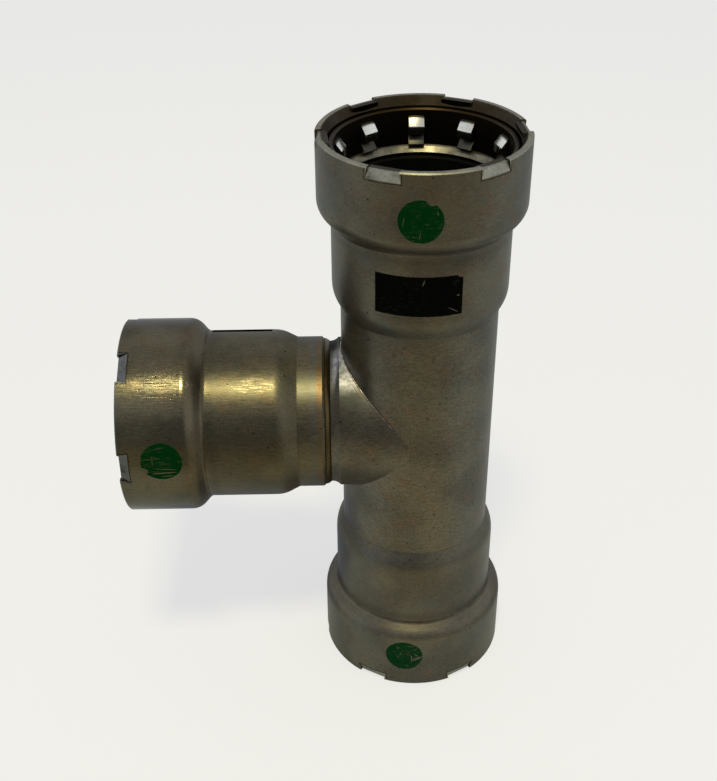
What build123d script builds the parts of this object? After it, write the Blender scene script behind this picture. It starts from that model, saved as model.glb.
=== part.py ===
from build123d import *
from math import atan, radians, sin, tan
import os

# Equal press fit tee. A formed steel run carries a press end at the top and at the bottom and a
# drawn collar at its side, and a formed branch socket is welded to the collar. Each of the three
# mouths holds a toothed grip ring, a separator ring and a sealing ring behind its crimped rim.
# Frame: the origin is on the run axis at the pipe stop of the lower socket, +Z goes up the run
# and the branch points along -X. Lengths are in millimetres.

# Pipe that the sockets take, and the tube that the fitting is formed from
pipe_radius = 13.35
pipe_clearance = 0.35
pipe_stop_ledge = 1.1
wall = 1.9

# Reach of the run's mouths from the crossing of the axes
run_reach = 55.4

# Press end: radii follow from the pipe, depths are counted from the mouth
chamber_room = 2.4
chamber_depth = 12.4
shoulder_length = 2.1
socket_depth = 27.3
stop_taper_length = 2.9
chamber_bend = 2.2
shoulder_bend = 2.0
stop_bend = 5.0
throat_bend = 1.5

# Rim of a mouth and the six crimps that hold the rings in
rim_edge_bevel = 0.22
rim_bevel_width = 0.85
rim_bevel_depth = 1.6
crimp_count = 6
crimp_mouth_width = 5.3
crimp_root_width = 6.0
crimp_depth = 1.9
crimp_drop = 0.3
crimp_press = 0.8
crimp_lean = 0.5
crimp_grip = 0.35
crimp_root = 0.25

# Drawn collar of the run, the weld at its end and the branch's plain neck beyond the weld
collar_height = 2.1
collar_step = 0.15
collar_draw = 0.75
collar_flare = 1.65
collar_root_round = 0.3
bore_root_round = 1.0
weld_width = 1.1
weld_crown = 0.12
neck_bevel = 0.35
neck_length = 5.17

# Rings in the chamber, from the mouth inwards
ring_clearance = 0.25
ring_set_back = 1.75
grip_ring_length = 6.5
grip_ring_wall = 0.9
grip_edge_bevel = 0.25
tooth_count = 10
tooth_pipe_gap = 0.25
tooth_width = 2.8
tooth_root = 0.3
upper_tooth_drop = 1.3
upper_tooth_slope = 1.6
upper_tooth_land = 1.4
lower_tooth_drop = 4.8
lower_tooth_slope = 1.35
lower_tooth_land = 0.25
lower_tooth_relief = 0.15
separator_sheet = 0.7
separator_bend = 0.6
separator_cone_length = 1.0
separator_pipe_gap = 0.4
separator_angle = radians(45)
seal_pipe_gap = 0.25
seal_gap = 0.15
seal_heel_gap = 0.3
seal_rim_width = 0.6
seal_lip_width = 1.0
seal_lip_bevel = 0.35
seal_heel_bevel = 1.2

# Turn of the crimps and teeth in each mouth, in degrees
upper_crimp_turn = 5.4
lower_crimp_turn = 0.0
branch_crimp_turn = 31.7
upper_tooth_turn = 19.0
lower_tooth_turn = 7.0
branch_tooth_turn = 12.0

# Radii that follow from the pipe and the wall
bore_radius = pipe_radius - pipe_stop_ledge
body_radius = bore_radius + wall
socket_bore_radius = pipe_radius + pipe_clearance
chamber_radius = socket_bore_radius + chamber_room
bead_radius = chamber_radius + wall
throat_middle = bore_radius + wall / 2
socket_middle = socket_bore_radius + wall / 2
chamber_middle = chamber_radius + wall / 2
collar_radius = body_radius - collar_step
collar_end_radius = collar_radius - collar_draw
collar_bore_radius = collar_radius - wall

# Bends turn the wall by these angles, and the straight socket ends where the stop bend starts
shoulder_angle = atan((chamber_middle - socket_middle) / shoulder_length)
stop_angle = atan((socket_middle - throat_middle) / stop_taper_length)
stop_corner_depth = socket_depth + stop_bend * tan(stop_angle / 2)
throat_depth = stop_corner_depth + stop_taper_length
centre_height = run_reach - socket_depth

# Along the branch, from the crossing of the axes: the collar, the weld, the neck and the socket
collar_end = body_radius + collar_height
neck_start = collar_end + weld_width
branch_reach = neck_start + neck_length + throat_depth

# The crossing of the axes, as the sketch plane of a wall section: radius first, then reach
run_section = Plane(origin=(0, 0, centre_height), x_dir=(1, 0, 0), z_dir=(0, -1, 0))
branch_section = Plane(origin=(0, 0, centre_height), x_dir=(0, 0, 1), z_dir=(0, -1, 0))
branch_axis = Axis((0, 0, centre_height), (-1, 0, 0))
branch_plane = Plane(origin=(0, 0, centre_height), x_dir=(0, 0, 1), z_dir=(-1, 0, 0))

# Each mouth is a plane whose normal points out of the fitting
upper_mouth = Plane(origin=(0, 0, centre_height + run_reach), x_dir=(1, 0, 0), z_dir=(0, 0, 1))
lower_mouth = Plane(origin=(0, 0, centre_height - run_reach), x_dir=(1, 0, 0), z_dir=(0, 0, -1))
branch_mouth = Plane(origin=(-branch_reach, 0, centre_height), x_dir=(0, 0, 1), z_dir=(-1, 0, 0))

os.makedirs("parts", exist_ok=True)


def press_end_line(start, reach):
    """Middle of the formed wall, from the plain tube at start out to the mouth at reach."""
    return FilletPolyline(
        (throat_middle, start),
        (throat_middle, reach - throat_depth),
        (socket_middle, reach - stop_corner_depth),
        (socket_middle, reach - chamber_depth - shoulder_length),
        (chamber_middle, reach - chamber_depth),
        (chamber_middle, reach),
        radius=[throat_bend, stop_bend, shoulder_bend, chamber_bend],
    )


def finish_rim(mouth):
    """Bevel the outer and the inner edge of the rim at a mouth."""
    outwards = Axis(mouth.origin, mouth.z_dir)
    rim = faces().sort_by(outwards)[-1]
    chamfer(rim.edges().sort_by(SortBy.LENGTH)[-1], rim_edge_bevel)
    rim = faces().sort_by(outwards)[-1]
    inner_edge = rim.edges().sort_by(SortBy.LENGTH)[0]
    chamfer(inner_edge, rim_bevel_width, rim_bevel_depth, reference=rim)


def crimp_tool(mouth_inner, mouth_outer, root_inner, root_outer):
    """One crimp's wedge in the frame of a mouth, between two radii there and two at its root."""
    with BuildPart() as tool:
        with BuildSketch(Plane.XY):
            with Locations(((mouth_inner + mouth_outer) / 2, 0)):
                Rectangle(mouth_outer - mouth_inner, crimp_mouth_width)
        with BuildSketch(Plane.XY.offset(-crimp_depth)):
            with Locations(((root_inner + root_outer) / 2, 0)):
                Rectangle(root_outer - root_inner, crimp_root_width)
        loft()
    return tool.part


# What the punch pushes away outside the rim, the lip that it pushes in over the grip ring, and
# what the rim loses in height there
crimp_face = bead_radius - crimp_press
crimp_face_root = crimp_face + crimp_lean
crimp_reach = bead_radius + crimp_press
crimp_lip_radius = chamber_radius - crimp_grip
crimp_cut = crimp_tool(crimp_face, crimp_reach, crimp_face_root, crimp_reach)
crimp_lip = crimp_tool(crimp_lip_radius, crimp_face, chamber_radius + crimp_root, crimp_face_root)
crimp_top_width = crimp_mouth_width + (crimp_root_width - crimp_mouth_width) * crimp_drop / crimp_depth
with BuildPart() as crimp_top:
    with BuildSketch(Plane.XY.offset(-crimp_drop)):
        with Locations(((crimp_lip_radius + crimp_reach) / 2, 0)):
            Rectangle(crimp_reach - crimp_lip_radius, crimp_top_width)
    extrude(amount=2 * crimp_drop)


def crimp_rim(mouth, turn):
    """Press the crimps into the rim at a mouth."""
    with Locations(mouth):
        with PolarLocations(0, crimp_count, start_angle=turn):
            add(crimp_cut, mode=Mode.SUBTRACT)
    with Locations(mouth):
        with PolarLocations(0, crimp_count, start_angle=turn):
            add(crimp_lip)
    with Locations(mouth):
        with PolarLocations(0, crimp_count, start_angle=turn):
            add(crimp_top.part, mode=Mode.SUBTRACT)


# Run: the formed tube with both press ends, then the drawn collar and its open bore
collar_span = 2 * (collar_radius + collar_root_round)
with BuildPart() as run_body:
    with BuildSketch(run_section):
        with BuildLine():
            press_end_line(0, run_reach)
        trace(line_width=wall)
    revolve(axis=Axis.Z)
    mirror(about=Plane.XY.offset(centre_height))
    with BuildSketch(branch_section):
        with BuildLine():
            Polyline(
                (collar_end_radius, collar_end), (0, collar_end), (0, 0), (collar_radius, 0),
                (collar_radius, collar_end - collar_flare),
            )
            TangentArc(
                (collar_end_radius, collar_end), (collar_radius, collar_end - collar_flare),
                tangent=(0, -1),
            )
        make_face()
    revolve(axis=branch_axis)
    collar_root = edges().filter_by(GeomType.BSPLINE).sort_by(SortBy.LENGTH)[-1]
    fillet(collar_root, collar_root_round)
    with Locations((0, 0, centre_height)):
        Cylinder(bore_radius, collar_span, mode=Mode.SUBTRACT)
    with BuildSketch(branch_plane):
        Circle(collar_bore_radius)
    extrude(amount=collar_end, mode=Mode.SUBTRACT)
    bore_root = edges().filter_by(GeomType.BSPLINE).sort_by(SortBy.LENGTH)[-1]
    fillet(bore_root, bore_root_round)
    finish_rim(upper_mouth)
    finish_rim(lower_mouth)
    crimp_rim(upper_mouth, upper_crimp_turn)
    crimp_rim(lower_mouth, lower_crimp_turn)
run_body.part.label = "run_body"
export_step(run_body.part, "parts/run_body.step")

# Branch socket: the formed tube from its bevelled weld end to its mouth
with BuildPart() as branch_socket:
    with BuildSketch(branch_section):
        with BuildLine():
            press_end_line(neck_start, branch_reach)
        trace(line_width=wall)
    revolve(axis=branch_axis)
    weld_face = faces().sort_by(branch_axis)[0]
    chamfer(weld_face.edges().sort_by(SortBy.LENGTH)[-1], neck_bevel)
    finish_rim(branch_mouth)
    crimp_rim(branch_mouth, branch_crimp_turn)
branch_socket.part.label = "branch_socket"
export_step(branch_socket.part, "parts/branch_socket.step")

# Weld seam from the drawn end of the collar to the bevel of the branch's neck, with a low crown
weld_low = collar_end_radius
weld_high = body_radius - neck_bevel
with BuildPart() as branch_weld:
    with BuildSketch(branch_section):
        with BuildLine():
            Line((collar_bore_radius, collar_end), (weld_low, collar_end))
            ThreePointArc(
                (weld_low, collar_end),
                ((weld_low + weld_high) / 2 + weld_crown, (collar_end + neck_start) / 2),
                (weld_high, neck_start),
            )
            Line((weld_high, neck_start), (bore_radius, neck_start))
            Line((bore_radius, neck_start), (collar_bore_radius, collar_end))
        make_face()
    revolve(axis=branch_axis)
branch_weld.part.label = "branch_weld"
export_step(branch_weld.part, "parts/branch_weld.step")

# Grip ring in the frame of a mouth: a plain ring with two rows of tooth pads on its inside
grip_outer_radius = chamber_radius - ring_clearance
grip_inner_radius = grip_outer_radius - grip_ring_wall
tooth_tip_radius = pipe_radius + tooth_pipe_gap
grip_bottom = -ring_set_back - grip_ring_length


def tooth_pad(drop, slope, land, tip_radius):
    """A wedge on the inside of the ring: its face slopes in from the wall to a short land."""
    top = -ring_set_back - drop
    root = grip_inner_radius + tooth_root
    with BuildPart() as pad:
        with BuildSketch(Plane.XZ):
            with BuildLine():
                Polyline(
                    (root, top),
                    (grip_inner_radius, top),
                    (tip_radius, top - slope),
                    (tip_radius, top - slope - land),
                    (root, top - slope - land),
                    close=True,
                )
            make_face()
        extrude(amount=tooth_width / 2, both=True)
    return pad.part


upper_tooth = tooth_pad(upper_tooth_drop, upper_tooth_slope, upper_tooth_land, tooth_tip_radius)
lower_tooth = tooth_pad(
    lower_tooth_drop, lower_tooth_slope, lower_tooth_land, tooth_tip_radius + lower_tooth_relief
)
with BuildPart() as grip_form:
    with BuildSketch(Plane.XY.offset(grip_bottom)):
        Circle(grip_outer_radius)
        Circle(grip_inner_radius, mode=Mode.SUBTRACT)
    extrude(amount=grip_ring_length)
    chamfer(faces().sort_by(Axis.Z)[-1].edges(), grip_edge_bevel)
    with PolarLocations(0, tooth_count):
        add(upper_tooth)
        add(lower_tooth)

# Separator ring: a flat seat under the grip ring whose inner edge is drawn down into a cone
separator_seat = grip_bottom - separator_sheet / 2
separator_tip = pipe_radius + separator_pipe_gap + separator_sheet / 2 * sin(separator_angle)
separator_end = separator_seat - separator_cone_length
with BuildPart() as separator_form:
    with BuildSketch(Plane.XZ):
        with BuildLine():
            FilletPolyline(
                (grip_outer_radius, separator_seat),
                (separator_tip + separator_cone_length / tan(separator_angle), separator_seat),
                (separator_tip, separator_end),
                radius=separator_bend,
            )
        trace(line_width=separator_sheet)
    revolve(axis=Axis.Z)

# Sealing ring: it fills the chamber from the separator down to the shoulder
seal_inner_radius = pipe_radius + seal_pipe_gap
seal_top = grip_bottom - separator_sheet
seal_lip_top = separator_end - separator_sheet / 2 - seal_gap
wall_shift = wall / 2 * tan(shoulder_angle / 2)
shoulder_slope = shoulder_length / chamber_room


def seal_bottom(radius):
    """Height of the seal's lower face at a radius, a gap above the inside of the shoulder."""
    return (radius - chamber_radius) * shoulder_slope - chamber_depth + wall_shift + seal_heel_gap


with BuildPart() as seal_form:
    with BuildSketch(Plane.XZ):
        with BuildLine():
            Polyline(
                (grip_outer_radius, seal_top),
                (grip_outer_radius - seal_rim_width, seal_top),
                (seal_inner_radius + seal_lip_width, seal_lip_top),
                (seal_inner_radius, seal_lip_top),
                (seal_inner_radius, seal_bottom(seal_inner_radius)),
                (grip_outer_radius, seal_bottom(grip_outer_radius)),
                close=True,
            )
        make_face()
        chamfer(vertices().group_by(Axis.X)[0].sort_by(Axis.Y)[-1], seal_lip_bevel)
        chamfer(vertices().group_by(Axis.X)[-1].sort_by(Axis.Y)[0], seal_heel_bevel)
    revolve(axis=Axis.Z)

# The same three rings go into each mouth, turned to where they lie there
ring_mouths = {
    "upper": (upper_mouth, upper_tooth_turn),
    "lower": (lower_mouth, lower_tooth_turn),
    "branch": (branch_mouth, branch_tooth_turn),
}
for mouth_name, (mouth, turn) in ring_mouths.items():
    seat = mouth.location * Rotation(0, 0, turn)
    with BuildPart() as grip_ring:
        with Locations(seat):
            add(grip_form.part)
    grip_ring.part.label = f"{mouth_name}_grip_ring"
    export_step(grip_ring.part, f"parts/{mouth_name}_grip_ring.step")

    with BuildPart() as separator_ring:
        with Locations(seat):
            add(separator_form.part)
    separator_ring.part.label = f"{mouth_name}_separator_ring"
    export_step(separator_ring.part, f"parts/{mouth_name}_separator_ring.step")

    with BuildPart() as sealing_ring:
        with Locations(seat):
            add(seal_form.part)
    sealing_ring.part.label = f"{mouth_name}_sealing_ring"
    export_step(sealing_ring.part, f"parts/{mouth_name}_sealing_ring.step")
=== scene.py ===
import logging
import math
from dataclasses import dataclass, field
from enum import Enum
from typing import Sequence, Union

import bmesh
import bpy
from mathutils import Matrix, Vector


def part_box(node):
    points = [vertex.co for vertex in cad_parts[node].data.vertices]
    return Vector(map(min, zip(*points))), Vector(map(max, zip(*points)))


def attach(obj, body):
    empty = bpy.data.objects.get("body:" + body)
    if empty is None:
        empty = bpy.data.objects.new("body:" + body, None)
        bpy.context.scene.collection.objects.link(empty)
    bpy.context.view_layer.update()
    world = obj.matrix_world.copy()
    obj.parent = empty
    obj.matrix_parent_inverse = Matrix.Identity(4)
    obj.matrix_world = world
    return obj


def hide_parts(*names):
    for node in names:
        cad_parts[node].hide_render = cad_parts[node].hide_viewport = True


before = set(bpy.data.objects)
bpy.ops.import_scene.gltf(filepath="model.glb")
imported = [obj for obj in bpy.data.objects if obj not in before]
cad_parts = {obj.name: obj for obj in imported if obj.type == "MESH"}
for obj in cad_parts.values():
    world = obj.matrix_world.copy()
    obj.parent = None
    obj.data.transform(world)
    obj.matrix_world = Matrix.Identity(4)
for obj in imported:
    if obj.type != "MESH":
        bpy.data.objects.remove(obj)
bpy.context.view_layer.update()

# Looks of an equal press fit tee: dull olive coated steel with bare pressed crimps, painted marks,
# a heat tinted weld, bright toothed grip rings, separators and black seals, on a pale floor.
log = logging.getLogger("press_tee")

MM = 0.001
RIGHT, BACK, UP = (1.0, 0.0, 0.0), (0.0, 1.0, 0.0), (0.0, 0.0, 1.0)
CRIMP_COUNT = 6
Colour = tuple[float, float, float]
# Where a ramp is 0, and where it is 1
Span = tuple[float, float]
Socket = bpy.types.NodeSocket


def srgb(red: int, green: int, blue: int) -> Colour:
    """Turn a colour seen on a screen into scene linear values.

    Args:
        red: Red, from 0 to 255.
        green: Green, from 0 to 255.
        blue: Blue, from 0 to 255.

    Returns:
        The linear red, green and blue.
    """
    def linear(level: int) -> float:
        """Undo the screen curve of one channel."""
        share = level / 255
        return share / 12.92 if share <= 0.04045 else ((share + 0.055) / 1.055) ** 2.4

    return linear(red), linear(green), linear(blue)


class Slot(Enum):
    """The record's material slots, one for each kind of new piece."""

    BODY = "body_steel"
    WELD = "weld_steel"
    GRIP = "grip_stainless"


class End(Enum):
    """The three press ends, by the first word of their nodes' names."""

    UPPER = "upper"
    LOWER = "lower"
    BRANCH = "branch"


class Signal:
    """One number socket of a node tree. Python's operators on it add Math nodes."""

    def __init__(self, graph: "Graph", socket: Socket) -> None:
        """Keep the tree and the socket that the number comes from."""
        self.graph = graph
        self.socket = socket

    def __add__(self, other: "Number") -> "Signal":
        """Add a number or a signal."""
        return self.graph.math("ADD", self, other)

    def __sub__(self, other: "Number") -> "Signal":
        """Take away a number or a signal."""
        return self.graph.math("SUBTRACT", self, other)

    def __rsub__(self, other: "Number") -> "Signal":
        """Take this signal away from a number."""
        return self.graph.math("SUBTRACT", other, self)

    def __mul__(self, other: "Number") -> "Signal":
        """Multiply by a number or a signal."""
        return self.graph.math("MULTIPLY", self, other)

    def __truediv__(self, other: "Number") -> "Signal":
        """Divide by a number or a signal."""
        return self.graph.math("DIVIDE", self, other)

    def __rtruediv__(self, other: "Number") -> "Signal":
        """Divide a number by this signal."""
        return self.graph.math("DIVIDE", other, self)

    def __neg__(self) -> "Signal":
        """Change the sign."""
        return self.graph.math("MULTIPLY", self, -1.0)

    def __abs__(self) -> "Signal":
        """Drop the sign."""
        return self.graph.math("ABSOLUTE", self)

    __radd__ = __add__
    __rmul__ = __mul__


Number = Union[float, Signal]


class Graph:
    """A node tree, with one method for each kind of node that the finishes use."""

    def __init__(self, tree: bpy.types.NodeTree) -> None:
        """Empty the tree and keep it."""
        tree.nodes.clear()
        self.tree = tree

    def node(self, kind: str, inputs: dict | None = None, **settings: object) -> bpy.types.Node:
        """Add one node, set its settings and then fill its inputs.

        Args:
            kind: The node's type.
            inputs: Values, signals, sockets or nodes by input name or index. A node gives its first output.
            settings: The node's own properties.

        Returns:
            The new node.
        """
        made = self.tree.nodes.new(kind)
        for name, value in settings.items():
            setattr(made, name, value)
        for key, value in (inputs or {}).items():
            target = made.inputs[key]
            source = value.socket if isinstance(value, Signal) else value
            source = source.outputs[0] if isinstance(source, bpy.types.Node) else source
            if isinstance(source, Socket):
                self.tree.links.new(source, target)
            else:
                target.default_value = source
        return made

    def math(self, operation: str, *values: Number) -> Signal:
        """One Math node on numbers or signals, as a signal."""
        made = self.node("ShaderNodeMath", dict(enumerate(values)), operation=operation)
        return Signal(self, made.outputs[0])

    def vector(self, operation: str, *values: object) -> Socket:
        """One Vector Math node, as its vector socket."""
        made = self.node("ShaderNodeVectorMath", dict(enumerate(values)), operation=operation)
        return made.outputs["Vector"]

    def dot(self, vector: Socket, direction: Sequence[float]) -> Signal:
        """The part of a vector along a fixed direction."""
        made = self.node("ShaderNodeVectorMath", {0: vector, 1: tuple(direction)}, operation="DOT_PRODUCT")
        return Signal(self, made.outputs["Value"])

    def ramp(self, value: Signal, low: float, high: float) -> Signal:
        """Rise smoothly from 0 at low to 1 at high.

        Args:
            value: The signal to look at.
            low: Where the result is 0.
            high: Where the result is 1. It may be below low, and then the result falls.

        Returns:
            The smooth step, held at 0 and 1 outside the range.
        """
        if high < low:
            return 1.0 - self.ramp(value, high, low)
        inputs = {"Value": value, "From Min": low, "From Max": high}
        made = self.node("ShaderNodeMapRange", inputs, interpolation_type="SMOOTHSTEP")
        return Signal(self, made.outputs["Result"])

    def larger(self, first: Number, second: Number) -> Signal:
        """The larger of two numbers."""
        return self.math("MAXIMUM", first, second)

    def blend(self, share: Number, first: object, second: object) -> Socket:
        """Mix two colours.

        Args:
            share: 0 for the first colour and 1 for the second.
            first: A linear colour or a colour socket.
            second: A linear colour or a colour socket.

        Returns:
            The mixed colour's socket.
        """
        colours = [(*c, 1.0) if isinstance(c, tuple) else c for c in (first, second)]
        made = self.node("ShaderNodeMix", {0: share, 6: colours[0], 7: colours[1]}, data_type="RGBA")
        return made.outputs[2]

    def shade(self, colour: object, factor: Signal) -> Socket:
        """Darken or lighten a colour by a factor."""
        even = self.node("ShaderNodeCombineXYZ", {0: factor, 1: factor, 2: factor})
        return self.vector("MULTIPLY", colour, even)

    def noise(self, place: Socket, per_mm: float, detail: float = 2.0, rough: float = 0.5) -> Signal:
        """Soft noise about 0.5, with so many features in a millimetre and so many finer octaves."""
        inputs = {"Vector": place, "Scale": per_mm, "Detail": detail, "Roughness": rough}
        return Signal(self, self.node("ShaderNodeTexNoise", inputs).outputs["Fac"])

    def stretched(
        self, place: Socket, scale: Sequence[float], turn: Sequence[float] = (0.0, 0.0, 0.0)
    ) -> Socket:
        """Turn and scale a place, so that noise on it becomes streaks."""
        inputs = {"Vector": place, "Rotation": tuple(turn), "Scale": tuple(scale)}
        return self.node("ShaderNodeMapping", inputs).outputs["Vector"]

    def specks(self, place: Socket, per_mm: float, radius: float, share: float) -> Signal:
        """Scattered round specks.

        Args:
            place: The place on the surface, in millimetres.
            per_mm: How many cells fit in a millimetre.
            radius: A speck's radius, as a share of a cell.
            share: The share of cells that hold a speck.

        Returns:
            1 in a speck and 0 elsewhere.
        """
        made = self.node("ShaderNodeTexVoronoi", {"Vector": place, "Scale": per_mm})
        chance = self.dot(made.outputs["Color"], RIGHT)
        distance = Signal(self, made.outputs["Distance"])
        return self.ramp(distance, radius, radius * 0.6) * self.math("LESS_THAN", chance, share)


@dataclass(frozen=True)
class Stroke:
    """A straight scratch or chip in a flat patch: its middle, turn, length and width in millimetres."""

    across: float
    along: float
    turn_deg: float
    length: float
    width: float

    def mask(self, across: Signal, along: Signal) -> Signal:
        """Where the stroke is.

        Args:
            across: Arc length round the tube, in millimetres.
            along: Length along the tube, in millimetres.

        Returns:
            1 on the stroke and 0 off it, with pointed ends.
        """
        cos, sin = math.cos(math.radians(self.turn_deg)), math.sin(math.radians(self.turn_deg))
        x, y = across - self.across, along - self.along
        reach = abs(x * cos + y * sin) / (self.length / 2)
        side = abs(y * cos - x * sin) / (self.width / 2)
        return across.graph.ramp(side + reach * reach, 1.15, 0.75)


# Strokes, each with the turn in degrees at which its patch lies
TurnedStrokes = tuple[tuple[float, Stroke], ...]


@dataclass(frozen=True)
class TubeAxis:
    """The axis of a tube: a point on it, its outward direction and the direction that turns count from."""

    point: Vector
    outward: Vector
    start: Vector

    @property
    def side(self) -> Vector:
        """The direction a quarter turn on from the start."""
        return self.outward.cross(self.start)


@dataclass(frozen=True)
class PressEnd:
    """One press end: its axis with the mouth as its point, and how its crimps are turned."""

    end: End
    axis: TubeAxis
    crimp_turn_deg: float
    tooth_turn_deg: float

    @property
    def matrix(self) -> Matrix:
        """From the frame of the mouth, with its normal along +Z, to the frame of the part."""
        columns = (self.axis.start, self.axis.side, self.axis.outward)
        return Matrix.Translation(self.axis.point) @ Matrix(columns).transposed().to_4x4()


# Turns of each mouth's crimps and teeth, in degrees from the start of its axis
CRIMP_TURNS = {End.UPPER: 5.4, End.LOWER: 0.0, End.BRANCH: 31.7}
TOOTH_TURNS = {End.UPPER: 19.0, End.LOWER: 7.0, End.BRANCH: 12.0}


class TeeFrame:
    """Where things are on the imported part, read from its nodes' boxes, in metres."""

    def __init__(self) -> None:
        """Measure the run and the branch."""
        run_low, run_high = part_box("run_body")
        branch_low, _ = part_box("branch_socket")
        centre = (run_low.z + run_high.z) / 2
        up, right = Vector(UP), Vector(RIGHT)
        self.crossing = Vector((0, 0, centre))
        self.floor_height = run_low.z
        axes = {
            End.UPPER: TubeAxis(Vector((0, 0, run_high.z)), up, right),
            End.LOWER: TubeAxis(Vector((0, 0, run_low.z)), -up, right),
            End.BRANCH: TubeAxis(Vector((branch_low.x, 0, centre)), -right, up),
        }
        self.ends = {
            end: PressEnd(end, axis, CRIMP_TURNS[end], TOOTH_TURNS[end]) for end, axis in axes.items()}


@dataclass(frozen=True)
class Mark:
    """A painted field on a tube: a disc, or a box where its half sizes differ.

    The middle is a turn about the tube's axis and a depth from the mouth, and sizes are in millimetres.
    """

    end: End
    turn_deg: float
    depth: float
    radius: float
    half_across: float
    half_along: float
    colour: Colour
    round_disc: bool = True
    strokes: tuple[Stroke, ...] = ()
    ragged: float = 0.25
    wear: float = 0.3
    soft_edge: float = 0.06

    def mask(self, fields: "EndFields", wear: Signal) -> Signal:
        """Where the paint still is.

        Args:
            fields: The press end's coordinates.
            wear: Fine noise that makes the edge ragged.

        Returns:
            1 on paint and 0 off it.
        """
        graph = fields.graph
        across = fields.turn_from(self.turn_deg) * self.radius
        along = fields.depth - self.depth
        shift = (wear - 0.5) * self.ragged

        def within(distance: Signal, half: float) -> Signal:
            """Where a ragged distance is less than a half size."""
            return graph.ramp(distance + shift, half + self.soft_edge, half - self.soft_edge)

        if self.round_disc:
            inside = within(graph.math("SQRT", across * across + along * along), self.half_across)
        else:
            inside = within(abs(across), self.half_across) * within(abs(along), self.half_along)
        for stroke in self.strokes:
            inside = inside * (1.0 - stroke.mask(across, along))
        return inside * graph.ramp(fields.facing, 0.0, 0.3)


class EndFields:
    """Coordinates about one press end inside a material: depth from the mouth, radius and turn."""

    def __init__(self, surface: "Surface", end: PressEnd) -> None:
        """Work the coordinates out from a place in millimetres.

        Args:
            surface: The place on the surface and its normal.
            end: The press end.
        """
        self.graph = graph = surface.graph
        self.end = end
        local = graph.vector("SUBTRACT", surface.place, tuple(end.axis.point / MM))
        self.depth = -graph.dot(local, end.axis.outward)
        self.u = graph.dot(local, end.axis.start)
        self.v = graph.dot(local, end.axis.side)
        self.radius = graph.math("SQRT", self.u * self.u + self.v * self.v)
        outwards = graph.dot(surface.normal, end.axis.start) * self.u
        outwards = outwards + graph.dot(surface.normal, end.axis.side) * self.v
        self.facing = outwards / self.radius
        self.lean = -graph.dot(surface.normal, end.axis.outward)

    def turn_from(self, turn_deg: float) -> Signal:
        """The turn about the axis in radians, counted from a given turn in degrees."""
        cos, sin = math.cos(math.radians(turn_deg)), math.sin(math.radians(turn_deg))
        return self.graph.math("ARCTAN2", self.v * cos - self.u * sin, self.u * cos + self.v * sin)

    def crimp_arc(self) -> Signal:
        """The arc from the nearest crimp's middle, in millimetres on the rim."""
        half = math.pi / CRIMP_COUNT
        return self.graph.math("WRAP", self.turn_from(self.end.crimp_turn_deg), half, -half) * self.radius

    def stroke(self, turn_deg: float, stroke: Stroke) -> Signal:
        """Where a stroke is whose patch lies at a turn, with its depth from the mouth as its length."""
        return stroke.mask(self.turn_from(turn_deg) * self.radius, self.depth)

    def band(self, middle: float, half: float, edge: float) -> Signal:
        """1 in a band round the tube: the depth of its middle, half its width and its soft edges' width."""
        return self.graph.ramp(abs(self.depth - middle), half + edge / 2, half - edge / 2)


@dataclass(frozen=True)
class Surface:
    """What a finish reads of a surface: its tree, its place in millimetres and its normal."""

    graph: Graph
    place: Socket
    normal: Socket


@dataclass(frozen=True)
class Material:
    """What every finish has: a name and a Principled shader on Object coordinates in millimetres."""

    name: str

    def start(self) -> tuple[bpy.types.Material, Graph, Surface]:
        """Make an empty material.

        Returns:
            The material, its graph and the surface.
        """
        made = bpy.data.materials.new(self.name)
        made.use_nodes = True
        graph = Graph(made.node_tree)
        coordinates = graph.node("ShaderNodeTexCoord").outputs
        place = graph.vector("MULTIPLY", coordinates["Object"], (1 / MM,) * 3)
        return made, graph, Surface(graph, place, coordinates["Normal"])

    def close(self, graph: Graph, inputs: dict, height: Signal, depth_mm: float) -> None:
        """Add the shader and the output.

        Args:
            graph: The material's graph.
            inputs: The Principled shader's inputs.
            height: Surface height from 0 to 1.
            depth_mm: How deep the height reaches, in millimetres.
        """
        bump = graph.node("ShaderNodeBump", {"Height": height, "Distance": depth_mm * MM})
        shader = graph.node("ShaderNodeBsdfPrincipled", inputs | {"Normal": bump})
        graph.node("ShaderNodeOutputMaterial", {"Surface": shader})


@dataclass(frozen=True)
class Tints:
    """The colours of a dull passivated coat, of what lies on it, of painted light and shade and of the bare
    metal under it.
    """

    dark: Colour
    light: Colour
    warm: Colour
    cool: Colour
    dull: Colour
    # Grime, also used for the painted shade inside the mouths
    grime_and_shade: Colour
    bare: Colour
    blue: Colour = srgb(84, 98, 112)
    straw: Colour = srgb(124, 78, 40)
    # Silver of the painted highlight on the drawn collar
    highlight_silver: Colour = srgb(117, 117, 124)


@dataclass
class Coat:
    """A coat that is being built up: its tree and noises, and what the shader gets so far."""

    graph: Graph
    surface: Surface
    patch: Signal
    fine: Signal
    lay: Signal
    colour: Socket
    rough: Signal
    height: Signal
    painted: Number = 0.0

    def cover(self, share: Number, colour: object) -> None:
        """Blend a colour over what is there."""
        self.colour = self.graph.blend(share, self.colour, colour)

    def shade(self, factor: Signal) -> None:
        """Darken or lighten what is there."""
        self.colour = self.graph.shade(self.colour, factor)


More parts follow.
